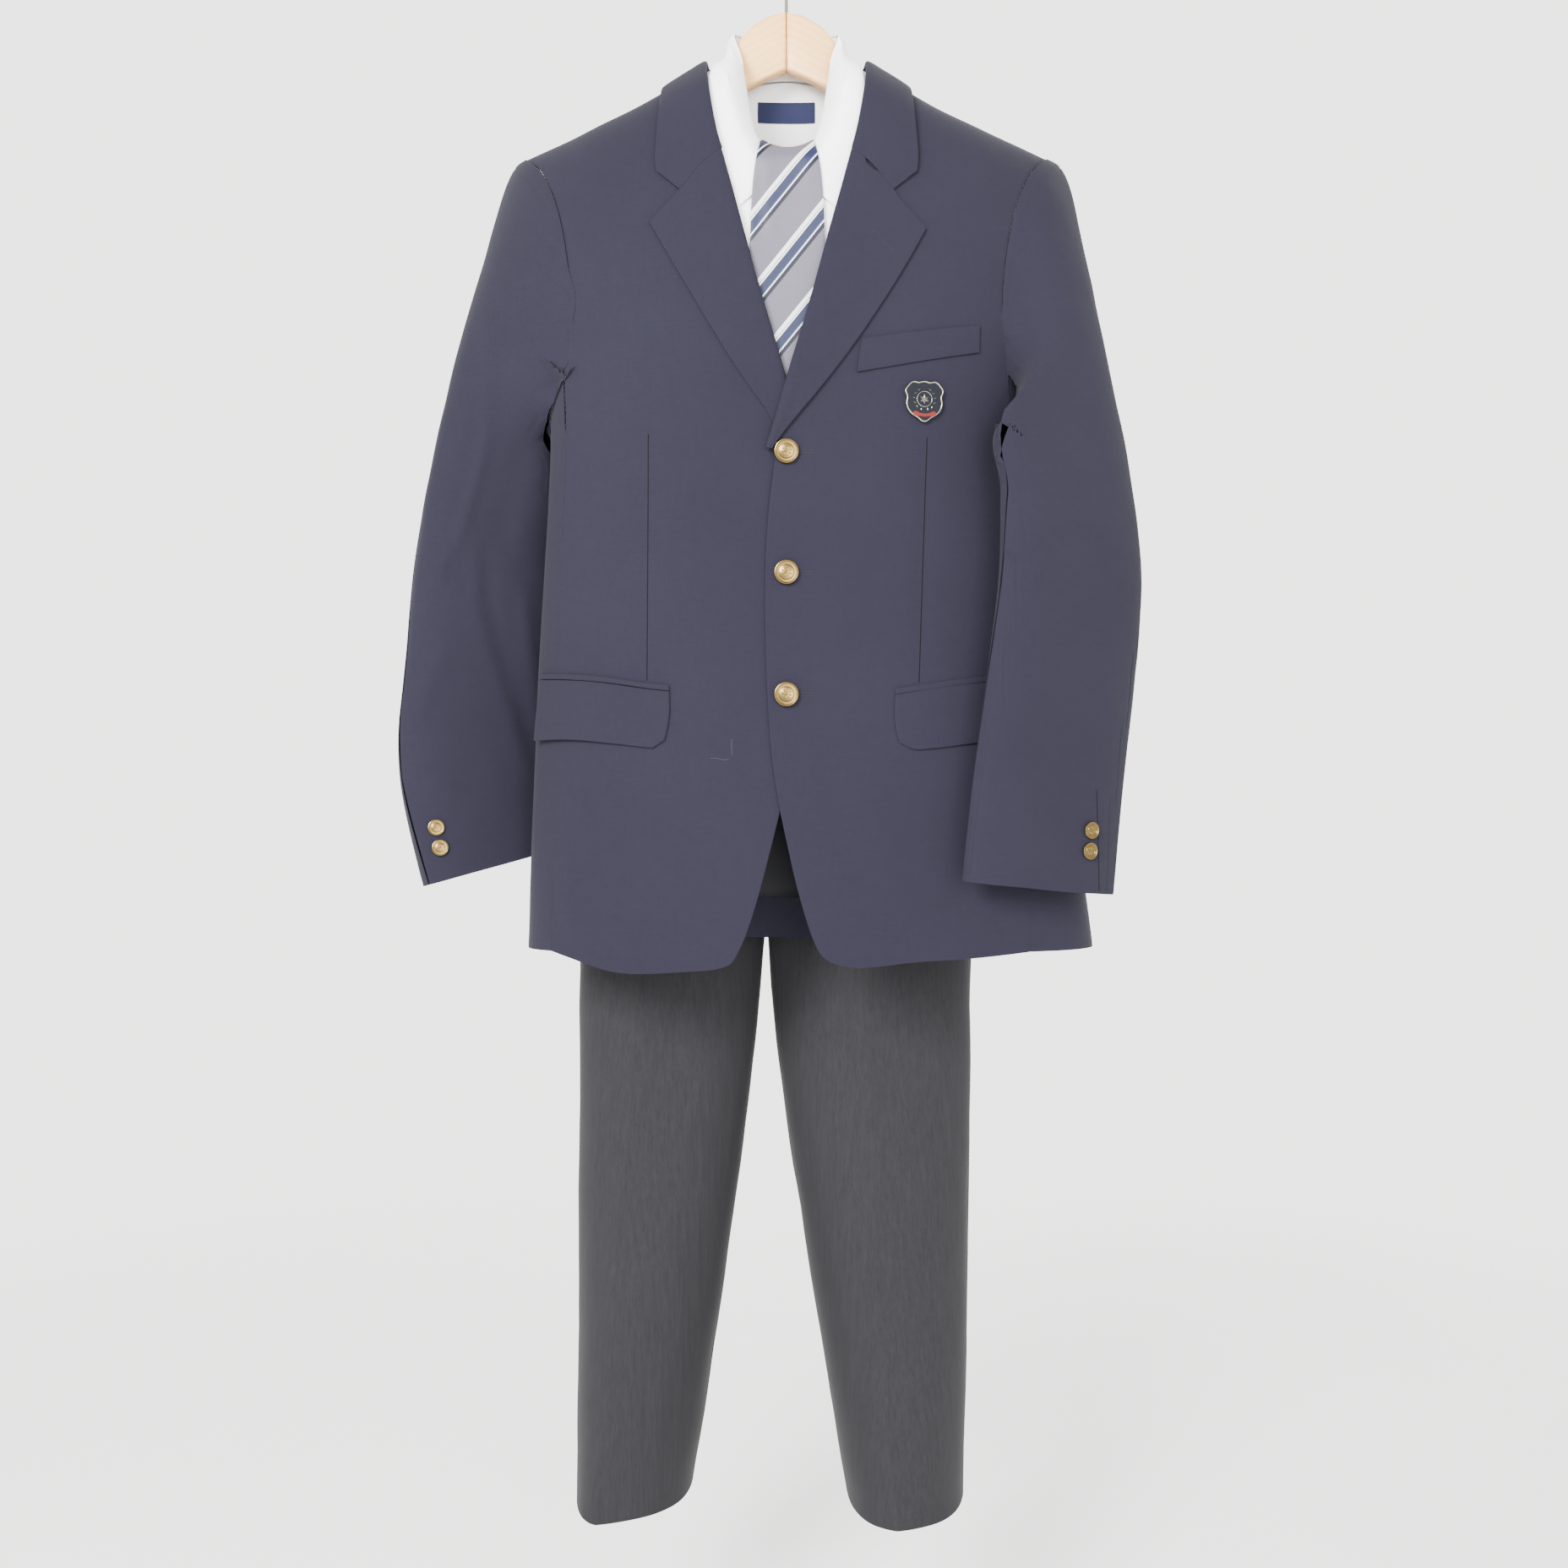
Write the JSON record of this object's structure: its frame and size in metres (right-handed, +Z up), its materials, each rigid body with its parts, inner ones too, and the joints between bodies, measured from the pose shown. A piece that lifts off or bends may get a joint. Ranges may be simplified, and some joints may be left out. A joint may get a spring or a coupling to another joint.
{
  "type": "school uniform on a wooden hanger",
  "caption": "Navy school blazer over a white shirt and a striped tie with charcoal trousers, hung together as a set on a wooden hanger with a clip hanger behind.",
  "frame": {"origin": "where the wooden hanger's hook rests on its rail, at the inside of the hook's top", "axes": "+Z up, the front of the blazer faces -Y, +X is the wearer's left"},
  "size_m": [0.6435, 0.2918, 1.3801],
  "materials": {
    "navy_wool": "matt navy serge",
    "lining": "smooth dark lining",
    "charcoal_wool": "matt charcoal with fine vertical lines",
    "white_cotton": "plain white",
    "striped_silk": "pale grey-lilac twill with navy, blue and white diagonal stripes",
    "maple": "clear lacquered light wood",
    "gilt": "polished pale gold",
    "chrome": "bright plated",
    "woven_label": "woven blue",
    "horn": "dark horn look"
  },
  "bodies": {
    "root": {"clip_hanger_clip_1": "chrome", "clip_hanger_clip_2": "chrome", "clip_hanger_rod": "chrome", "clip_hanger_wire": "chrome", "hanger_arm_left": "maple", "hanger_arm_right": "maple", "hanger_hook": "chrome", "jacket_back_left": "navy_wool", "jacket_back_lining": "lining", "jacket_back_right": "navy_wool", "jacket_badge": "chrome", "jacket_breast_welt": "navy_wool", "jacket_button_1": "gilt", "jacket_button_2": "gilt", "jacket_button_3": "gilt", "jacket_collar": "navy_wool", "jacket_cuff_button_left_1": "gilt", "jacket_cuff_button_left_2": "gilt", "jacket_cuff_button_right_1": "gilt", "jacket_cuff_button_right_2": "gilt", "jacket_flap_left": "navy_wool", "jacket_flap_right": "navy_wool", "jacket_front_left": "navy_wool", "jacket_front_right": "navy_wool", "jacket_lapel_left": "navy_wool", "jacket_lapel_right": "navy_wool", "jacket_pocket_welt_left": "navy_wool", "jacket_pocket_welt_right": "navy_wool", "jacket_side_left": "navy_wool", "jacket_side_right": "navy_wool", "jacket_sleeve_top_left": "navy_wool", "jacket_sleeve_top_right": "navy_wool", "jacket_sleeve_under_left": "navy_wool", "jacket_sleeve_under_right": "navy_wool", "shirt_back": "white_cotton", "shirt_collar_leaf": "white_cotton", "shirt_collar_stand": "white_cotton", "shirt_front_left": "white_cotton", "shirt_front_right": "white_cotton", "shirt_label": "woven_label", "shirt_sleeve_left": "white_cotton", "shirt_sleeve_right": "white_cotton", "shirt_yoke": "white_cotton", "tie": "striped_silk", "trousers_back_left": "charcoal_wool", "trousers_back_right": "charcoal_wool", "trousers_button": "horn", "trousers_fly": "charcoal_wool", "trousers_front_left": "charcoal_wool", "trousers_front_right": "charcoal_wool", "trousers_waistband": "charcoal_wool"}
  },
  "joints": []
}
